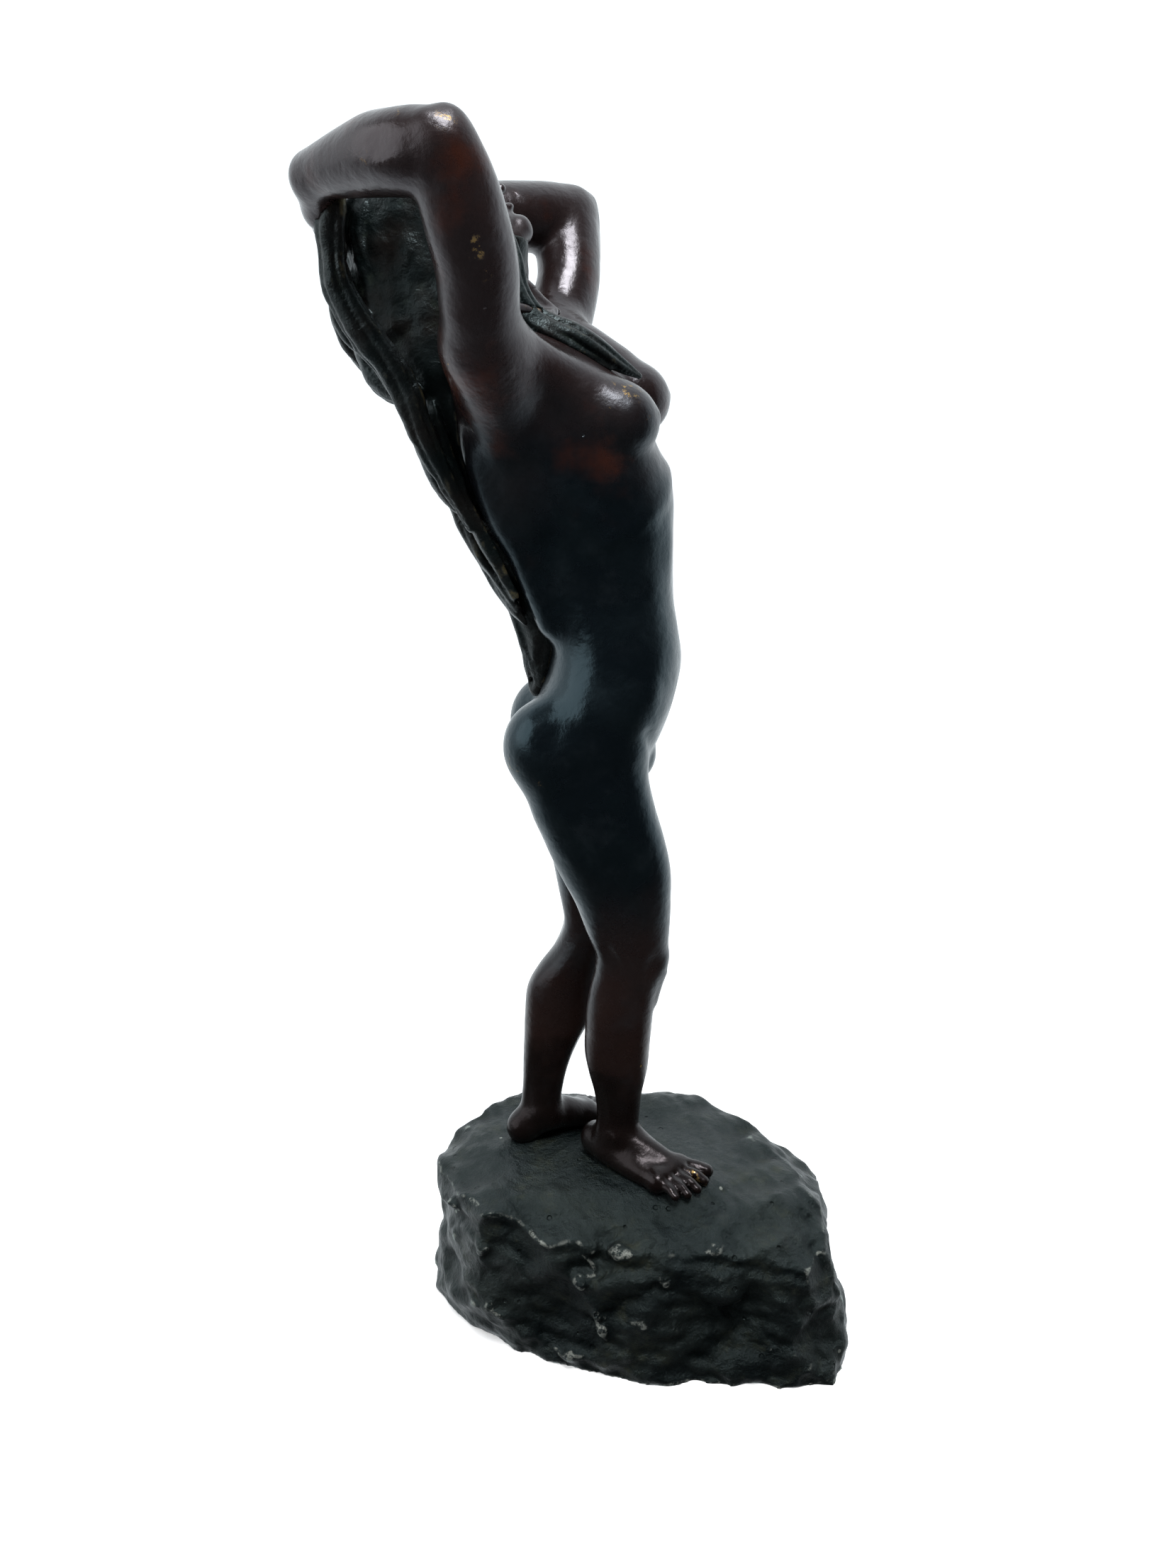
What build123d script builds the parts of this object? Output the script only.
"""A cast bronze statuette: a standing figure with raised arms and long hair, on a hollow rock.

Every casting is a solid of its own, joined as a foundry joins them: sleeve joints held by cross pins at
the hips, shoulders and neck, pins behind the hair, and a threaded stud, washer and nut under each foot.
Millimetres, +Z up. The origin is under the middle of the statuette, on the plane that the rock stands on.
"""
from build123d import *
import os

os.makedirs("parts", exist_ok=True)

# The figure's own axis stands here. Sections and points below are measured from it.
FIGURE_X = -5.1
FIGURE_Y = 0.0

# Rock
ROCK_TOP = 42.5
ROCK_WALL = 3.5
BOSS_RADIUS = 6.0
BOSS_DEPTH = 7.0

# Foot fixings, with a hand-cut thread drawn as a plain cylinder
STUD_RADIUS = 2.0
STUD_CLEARANCE = 0.25
STUD_IN_FOOT = 4.6
STUD_BELOW_BOSS = 5.6
WASHER_RADIUS = 4.5
WASHER_THICKNESS = 0.8
NUT_ACROSS_FLATS = 7.0
NUT_THICKNESS = 3.2

# Sleeve joints and cross pins
FIT_GAP = 0.04
HIP_SLEEVE = (4.6, 8.0)
SHOULDER_SLEEVE = (3.4, 7.0)
NECK_SLEEVE = (3.6, 7.0)
PIN_RADIUS = 1.2
HAIR_PIN_RADIUS = 1.5
HAIR_PIN_LENGTH = 9.0
BODY_WALL = 3.2
HAIR_PIN_STARTS = [(-23.6, -5.0, 238.0), (-23.6, 5.0, 238.0), (-7.8, 0.0, 204.0)]
PLUG_RADIUS = 2.5
PLUG_LENGTH = 2.6
PLUG_WAY = (-0.87, 0.0, -0.5)
CORE_PLUG_STARTS = [(-15.2, 0.0, 216.6), (-20.7, 0.0, 227.6)]

# Level ellipses: height, back, front, half width, side
HIP_HEIGHT = 142.0
TORSO = [
    (HIP_HEIGHT, -16.0, 16.8, 20.2, 0.0),
    (150.0, -19.6, 15.6, 20.8, 0.0),
    (160.0, -20.0, 18.3, 20.8, 0.0),
    (171.0, -15.0, 21.2, 19.4, 0.0),
    (182.0, -9.5, 21.9, 16.6, 0.0),
    (193.0, -7.5, 20.6, 15.0, 0.0),
    (204.0, -11.0, 20.2, 15.5, 0.0),
    (215.0, -18.0, 19.4, 17.0, 0.0),
    (226.0, -23.5, 16.5, 18.5, 0.0),
    (238.0, -27.0, 14.5, 19.5, 0.0),
    (247.0, -28.5, 10.0, 18.5, 0.0),
    (254.0, -28.5, 0.0, 14.0, 0.0),
    (258.0, -27.0, -6.5, 9.0, 0.0),
]
HOLLOW_LEVELS = TORSO[2:10]
RIGHT_LEG = [
    (HIP_HEIGHT, -14.6, 16.6, 9.9, -10.1),
    (134.0, -9.8, 18.8, 9.8, -10.0),
    (119.0, -3.1, 20.5, 8.9, -9.4),
    (103.0, 2.2, 20.2, 6.8, -9.0),
    (88.0, -0.6, 16.8, 7.0, -9.0),
    (70.0, 0.3, 15.1, 5.6, -9.0),
    (57.0, 2.2, 13.9, 4.8, -8.8),
    (47.0, 1.0, 13.6, 4.8, -8.4),
]
LEFT_LEG = [
    (HIP_HEIGHT, -15.2, 15.2, 9.9, 10.1),
    (134.0, -12.6, 14.4, 9.8, 10.1),
    (119.0, -8.6, 12.0, 8.9, 9.8),
    (104.0, -7.0, 9.0, 6.8, 9.4),
    (92.0, -13.2, 2.5, 6.8, 8.4),
    (79.0, -17.0, -1.0, 6.4, 6.8),
    (66.0, -17.6, -4.4, 5.4, 5.2),
    (56.0, -18.4, -7.2, 4.8, 3.8),
    (50.0, -20.0, -7.6, 4.8, 3.0),
]
HAIR = [
    (283.0, -46.0, -32.0, 7.0, 0.0),
    (276.0, -53.5, -23.0, 12.0, 0.0),
    (267.0, -56.0, -21.0, 15.5, 0.0),
    (257.0, -57.2, -20.0, 17.0, 0.0),
    (247.0, -53.5, -19.0, 17.5, 0.0),
    (238.0, -46.0, -18.0, 17.0, 0.0),
    (228.0, -39.0, -15.0, 15.5, 0.0),
    (216.0, -32.5, -10.0, 13.0, 0.0),
    (204.0, -25.8, -6.0, 10.0, 0.0),
    (192.0, -19.6, -4.0, 7.5, 0.0),
    (181.0, -16.4, -6.0, 5.0, 0.0),
    (171.0, -15.6, -11.5, 2.0, 0.0),
]

# Limbs: centres with radii, along each bone
NECK = [((-16.0, 0.0, 250.0), 9.0), ((-18.5, 0.0, 258.0), 7.9), ((-23.0, 0.0, 266.0), 7.4)]
NECK_JOINT = 1
RIGHT_SHOULDER = [((-17.0, -13.0, 241.0), 9.5), ((-20.3, -27.4, 254.2), 7.0)]
RIGHT_UPPER_ARM = [((-20.3, -27.4, 254.2), 7.0), ((-23.4, -34.5, 268.0), 6.9), ((-26.4, -40.5, 281.6), 6.3)]
RIGHT_FOREARM = [
    ((-26.4, -40.5, 281.6), 6.3),
    ((-38.5, -34.0, 282.0), 6.3),
    ((-47.5, -27.5, 280.3), 5.0),
    ((-53.0, -22.0, 277.4), 4.4),
]
RIGHT_HAND = [
    ((-53.0, -22.0, 277.4), 4.4),
    ((-53.2, -16.5, 272.8), 4.9),
    ((-50.8, -11.0, 268.2), 4.4),
    ((-48.0, -6.5, 265.0), 3.0),
]
LEFT_SHOULDER = [((-11.0, 13.0, 243.0), 9.5), ((-9.1, 27.7, 256.0), 7.0)]
LEFT_UPPER_ARM = [((-9.1, 27.7, 256.0), 7.0), ((-5.8, 34.5, 268.0), 6.8), ((-2.8, 40.5, 280.4), 6.3)]
LEFT_FOREARM = [
    ((-2.8, 40.5, 280.4), 6.3),
    ((-14.0, 36.0, 281.2), 6.2),
    ((-30.0, 26.0, 280.0), 5.0),
    ((-40.0, 18.0, 277.0), 4.4),
]
LEFT_HAND = [
    ((-40.0, 18.0, 277.0), 4.4),
    ((-44.5, 13.0, 273.0), 4.8),
    ((-47.5, 8.0, 268.5), 4.4),
    ((-48.6, 3.6, 264.6), 3.0),
]
ELBOW_RADIUS = 6.7
KNUCKLE_SWELL = 0.3
BREASTS = [(6.0, -9.8, 236.0), (7.6, 11.0, 238.0)]
BREAST_RADIUS = 11.6

# Head: a turned form about the crown's axis, which leans back
HEAD_CENTRE = (-28.6, 0.0, 272.0)
HEAD_LEAN = 60.0
HEAD_PROFILE = [(0.0, 13.8), (7.5, 11.4), (11.0, 4.0), (10.2, -4.0), (6.6, -10.6), (0.0, -13.4)]

# Feet: heel and toe end of each foot on the ground, and sections along it: share of the length,
# half width and height. Each section reaches a little below the sole, which is then cut flat.
RIGHT_FOOT = ((-1.4, -2.2), (29.8, -21.6))
LEFT_FOOT = ((-22.4, -0.2), (7.5, 13.5))
FOOT_SECTIONS = [
    (0.02, 3.0, 6.0),
    (0.14, 4.5, 11.0),
    (0.34, 4.9, 12.6),
    (0.58, 6.3, 8.4),
    (0.82, 7.3, 5.4),
    (1.00, 5.2, 3.4),
]
SOLE_CUT = 0.16
STUDS = {"right": (12.0, -10.6), "left": (-6.0, 7.8)}

# Rock outline on the ground, and the facets that cut it: a point and the way out of the rock
ROCK_OUTLINE = [
    (63.6, -42.0), (69.2, -22.6), (66.5, 6.0), (58.0, 24.0), (38.0, 34.5), (10.0, 37.5), (-14.0, 36.0),
    (-32.6, 26.4), (-43.6, 4.0), (-39.7, -9.6), (-33.6, -20.6), (-25.0, -32.6), (-6.0, -39.4),
    (12.8, -42.4), (29.2, -42.0), (51.0, -42.0),
]
FACETS = [
    ((26.0, 0.0, 42.5), (0.14, 0.0, 1.0)),
    ((59.5, -20.0, 36.0), (1.0, -0.08, 0.24)),
    ((10.0, -36.4, 38.0), (0.0, -1.0, 0.15)),
    ((10.0, -25.5, 42.5), (0.0, -0.32, 1.0)),
    ((45.0, -30.0, 36.5), (0.30, -0.45, 1.0)),
    ((-29.0, 0.0, 42.5), (-0.55, 0.0, 1.0)),
    ((-38.4, 0.0, 36.0), (-1.0, 0.0, 0.14)),
    ((-20.6, -31.9, 38.5), (-0.6, -0.8, 0.16)),
    ((10.0, 23.0, 41.0), (0.0, 0.62, 1.0)),
    ((10.0, 27.0, 37.0), (0.0, 1.0, 0.26)),
    ((-27.0, 18.0, 39.0), (-0.62, 0.78, 0.45)),
    ((46.0, 12.0, 38.5), (0.62, 0.78, 0.45)),
    ((58.5, -31.0, 33.0), (0.75, -0.7, 0.22)),
]


def place(point):
    """A point measured from the figure's axis, in the statuette's frame."""
    return Vector(*point) + Vector(FIGURE_X, FIGURE_Y, 0)


def level(height):
    """A level plane whose origin is on the figure's axis."""
    return Plane(origin=place((0, 0, height)))


def stack(sections, inset=0.0):
    """A loft through level ellipses, each one made smaller by the inset."""
    with BuildPart() as body:
        for height, back, front, half_width, side in sections:
            with BuildSketch(level(height)):
                with Locations(((back + front) / 2, side)):
                    Ellipse((front - back) / 2 - inset, half_width - inset)
        loft()
    return body.part


def direction(stations, index):
    """The way along the bone at one of its stations."""
    first = Vector(stations[max(index - 1, 0)][0])
    last = Vector(stations[min(index + 1, len(stations) - 1)][0])
    return (last - first).normalized()


def limb(stations, inset=0.0):
    """A loft through circles square to a bone."""
    with BuildPart() as body:
        for index, (centre, radius) in enumerate(stations):
            with BuildSketch(Plane(origin=place(centre), z_dir=direction(stations, index))):
                Circle(radius - inset)
        loft()
    return body.part


def ball(centre, radius):
    """A sphere with its centre on a point of the figure."""
    with BuildPart(Plane(origin=place(centre))) as body:
        Sphere(radius)
    return body.part


def rod(start, way, radius, length):
    """A straight cylinder from a start point along a way."""
    with BuildPart() as body:
        with BuildSketch(Plane(origin=place(start), z_dir=way)):
            Circle(radius)
        extrude(amount=length)
    return body.part


def sleeve(centre, way, size, grow=0.0):
    """The round spigot of a sleeve joint. With grow it is the socket that takes it."""
    radius, length = size
    return rod(centre, way, radius + grow, length + 4 * grow)


def cross_pin(centre, way, across, size, reach, radius=PIN_RADIUS):
    """A pin through a spigot at mid length, from the far side of the spigot to its outer end."""
    middle = Vector(centre) + Vector(way).normalized() * (size[1] / 2)
    across = Vector(across).normalized()
    return rod(middle - across * (size[0] + 1.0), across, radius, size[0] + 1.0 + reach)


def skull():
    """The turned head."""
    crown = Vector(0, 0, 1).rotate(Axis.Y, -HEAD_LEAN)
    face = Vector(1, 0, 0).rotate(Axis.Y, -HEAD_LEAN)
    profile_plane = Plane(origin=place(HEAD_CENTRE), x_dir=face, z_dir=face.cross(crown))
    with BuildPart() as body:
        with BuildSketch(profile_plane):
            with BuildLine():
                Spline(*HEAD_PROFILE, tangents=[(1, 0), (-1, 0)])
                Line(HEAD_PROFILE[-1], HEAD_PROFILE[0])
            make_face()
        revolve(axis=Axis(place(HEAD_CENTRE), crown))
    return body.part


def foot(ends):
    """A foot: a loft through upright ellipses from heel to toes, cut flat at the sole."""
    heel = place((*ends[0], ROCK_TOP))
    toe = place((*ends[1], ROCK_TOP))
    along = (toe - heel).normalized()
    with BuildPart() as body:
        for share, half_width, height in FOOT_SECTIONS:
            middle = heel + (toe - heel) * share + Vector(0, 0, height * (0.5 - SOLE_CUT))
            with BuildSketch(Plane(origin=middle, x_dir=Vector(0, 0, 1), z_dir=along)):
                Ellipse(height / 2, half_width)
        loft()
        split(bisect_by=Plane(origin=heel), keep=Keep.TOP)
    return body.part


def rock(inset):
    """The rock's faceted block. With an inset it is the hollow inside it."""
    with BuildPart() as block:
        with BuildSketch(level(0)):
            with BuildLine():
                Polyline(*ROCK_OUTLINE, close=True)
            make_face()
            offset(amount=-inset, kind=Kind.INTERSECTION)
        extrude(amount=ROCK_TOP - inset)
        for point, way in FACETS:
            outward = Vector(way).normalized()
            split(bisect_by=Plane(origin=place(point) - outward * inset, z_dir=outward), keep=Keep.BOTTOM)
    return block.part


def stud_hole(side, radius, bottom, top):
    """An upright cylinder on one foot's fixing axis."""
    x, y = STUDS[side]
    return rod((x, y, bottom), (0, 0, 1), radius, top - bottom)


def finish(name, label):
    """Name a finished piece and write it."""
    name.part.label = label
    export_step(name.part, f"parts/{label}.step")


# Joint places
hip_centres = {"right": (-1.5, -10.2, HIP_HEIGHT), "left": (-1.5, 10.2, HIP_HEIGHT)}
hip_ways = {"right": (0, -1, 0), "left": (0, 1, 0)}
shoulder_bones = {"right": RIGHT_UPPER_ARM, "left": LEFT_UPPER_ARM}
shoulder_ways = {side: direction(bone, 0) for side, bone in shoulder_bones.items()}
shoulder_centres = {side: bone[0][0] for side, bone in shoulder_bones.items()}
neck_way = direction(NECK, NECK_JOINT)
neck_centre = NECK[NECK_JOINT][0]
UP = (0, 0, 1)
BACKWARD = (-1, 0, 0)
neck_stump = NECK[:NECK_JOINT + 1]
neck_top = NECK[NECK_JOINT:]

# Pins that hold the sleeve joints
hip_pins = {
    side: cross_pin(hip_centres[side], UP, hip_ways[side], HIP_SLEEVE, 9.0) for side in hip_centres
}
shoulder_across = {"right": Vector(0, -1, -0.3), "left": Vector(0, 1, -0.3)}
shoulder_pins = {}
for side, way in shoulder_ways.items():
    square = shoulder_across[side] - way * shoulder_across[side].dot(way)
    shoulder_pins[side] = cross_pin(shoulder_centres[side], -way, square, SHOULDER_SLEEVE, 6.2)
neck_pin_solid = cross_pin(neck_centre, -neck_way, (0, 1, 0), NECK_SLEEVE, 6.5)
hair_pins = [rod(start, BACKWARD, HAIR_PIN_RADIUS, HAIR_PIN_LENGTH) for start in HAIR_PIN_STARTS]
core_plugs = [rod(start, PLUG_WAY, PLUG_RADIUS, PLUG_LENGTH) for start in CORE_PLUG_STARTS]


def cut(tools):
    """Take every one of these solids away from the open part."""
    for tool in tools:
        add(tool, mode=Mode.SUBTRACT)


# Torso: its outer form, then the hollow casting
with BuildPart() as torso_form:
    add(stack(TORSO))
    add(limb(RIGHT_SHOULDER))
    add(limb(LEFT_SHOULDER))
    for centre in BREASTS:
        add(ball(centre, BREAST_RADIUS))
    add(limb(neck_stump))
    for side, way in shoulder_ways.items():
        split(bisect_by=Plane(origin=place(shoulder_centres[side]), z_dir=way), keep=Keep.BOTTOM)
    split(bisect_by=Plane(origin=place(neck_centre), z_dir=neck_way), keep=Keep.BOTTOM)
with BuildPart() as torso:
    add(torso_form.part)
    add(stack(HOLLOW_LEVELS, BODY_WALL), mode=Mode.SUBTRACT)
    cut([sleeve(hip_centres[side], UP, HIP_SLEEVE, FIT_GAP) for side in hip_centres])
    for side, way in shoulder_ways.items():
        cut([sleeve(shoulder_centres[side], -way, SHOULDER_SLEEVE, FIT_GAP)])
    cut([sleeve(neck_centre, -neck_way, NECK_SLEEVE, FIT_GAP)])
    cut(hip_pins.values())
    cut(shoulder_pins.values())
    cut([neck_pin_solid])
    cut(hair_pins)
    cut(core_plugs)
finish(torso, "torso")

# Legs
leg_levels = {"right": RIGHT_LEG, "left": LEFT_LEG}
foot_ends = {"right": RIGHT_FOOT, "left": LEFT_FOOT}
for side, sections in leg_levels.items():
    with BuildPart() as leg:
        add(stack(sections))
        add(foot(foot_ends[side]))
        add(sleeve(hip_centres[side], UP, HIP_SLEEVE))
        cut([hip_pins[side]])
        cut([stud_hole(side, STUD_RADIUS, ROCK_TOP, ROCK_TOP + STUD_IN_FOOT)])
    finish(leg, f"{side}_leg")

# Arms
arm_bones = {
    "right": (RIGHT_UPPER_ARM, RIGHT_FOREARM, RIGHT_HAND),
    "left": (LEFT_UPPER_ARM, LEFT_FOREARM, LEFT_HAND),
}
arm_forms = []
for side, bones in arm_bones.items():
    upper_arm, forearm, hand = bones
    with BuildPart() as arm:
        add(limb(upper_arm))
        add(ball(upper_arm[-1][0], ELBOW_RADIUS))
        add(limb(forearm))
        add(ball(forearm[-1][0], forearm[-1][1] + KNUCKLE_SWELL))
        add(limb(hand))
        add(ball(hand[-1][0], hand[-1][1] + KNUCKLE_SWELL))
        split(bisect_by=Plane(origin=place(shoulder_centres[side]), z_dir=shoulder_ways[side]), keep=Keep.TOP)
        add(sleeve(shoulder_centres[side], -shoulder_ways[side], SHOULDER_SLEEVE))
        cut([shoulder_pins[side]])
    finish(arm, f"{side}_arm")
    arm_forms.append(arm.part)

# Head
with BuildPart() as head:
    add(skull())
    add(limb(neck_top))
    split(bisect_by=Plane(origin=place(neck_centre), z_dir=neck_way), keep=Keep.TOP)
    add(sleeve(neck_centre, -neck_way, NECK_SLEEVE))
    cut([neck_pin_solid])
finish(head, "head")

# Hair
with BuildPart() as hair_fall:
    add(stack(HAIR))
    cut([torso_form.part, head.part])
    cut(arm_forms)
    cut(hair_pins)
finish(hair_fall, "hair_fall")

# Rock
with BuildPart() as rock_base:
    add(rock(0.0))
    add(rock(ROCK_WALL), mode=Mode.SUBTRACT)
    for side in STUDS:
        add(stud_hole(side, BOSS_RADIUS, ROCK_TOP - BOSS_DEPTH, ROCK_TOP - 1.0))
    cut([stud_hole(side, STUD_RADIUS + STUD_CLEARANCE, ROCK_TOP - BOSS_DEPTH, ROCK_TOP) for side in STUDS])
finish(rock_base, "rock_base")

# Foot fixings
washer_top = ROCK_TOP - BOSS_DEPTH
nut_top = washer_top - WASHER_THICKNESS
for side in STUDS:
    with BuildPart() as stud:
        add(stud_hole(side, STUD_RADIUS, washer_top - STUD_BELOW_BOSS, ROCK_TOP + STUD_IN_FOOT))
        chamfer(stud.edges().filter_by(GeomType.CIRCLE), length=0.3)
    finish(stud, f"{side}_foot_stud")
    with BuildPart() as washer:
        add(stud_hole(side, WASHER_RADIUS, nut_top, washer_top))
        cut([stud_hole(side, STUD_RADIUS + STUD_CLEARANCE, nut_top, washer_top)])
    finish(washer, f"{side}_foot_washer")
    with BuildPart() as nut:
        x, y = STUDS[side]
        with BuildSketch(Plane(origin=place((x, y, nut_top)))):
            RegularPolygon(radius=NUT_ACROSS_FLATS / 2, side_count=6, major_radius=False)
            Circle(STUD_RADIUS, mode=Mode.SUBTRACT)
        extrude(amount=-NUT_THICKNESS)
    finish(nut, f"{side}_foot_nut")

# Pins and plugs
pin_groups = {
    "right_hip_pin": [hip_pins["right"]],
    "left_hip_pin": [hip_pins["left"]],
    "right_shoulder_pin": [shoulder_pins["right"]],
    "left_shoulder_pin": [shoulder_pins["left"]],
    "neck_pin": [neck_pin_solid],
    "hair_pins": hair_pins,
    "core_plugs": core_plugs,
}
for label, solids in pin_groups.items():
    with BuildPart() as pin_group:
        for solid in solids:
            add(solid)
    finish(pin_group, label)
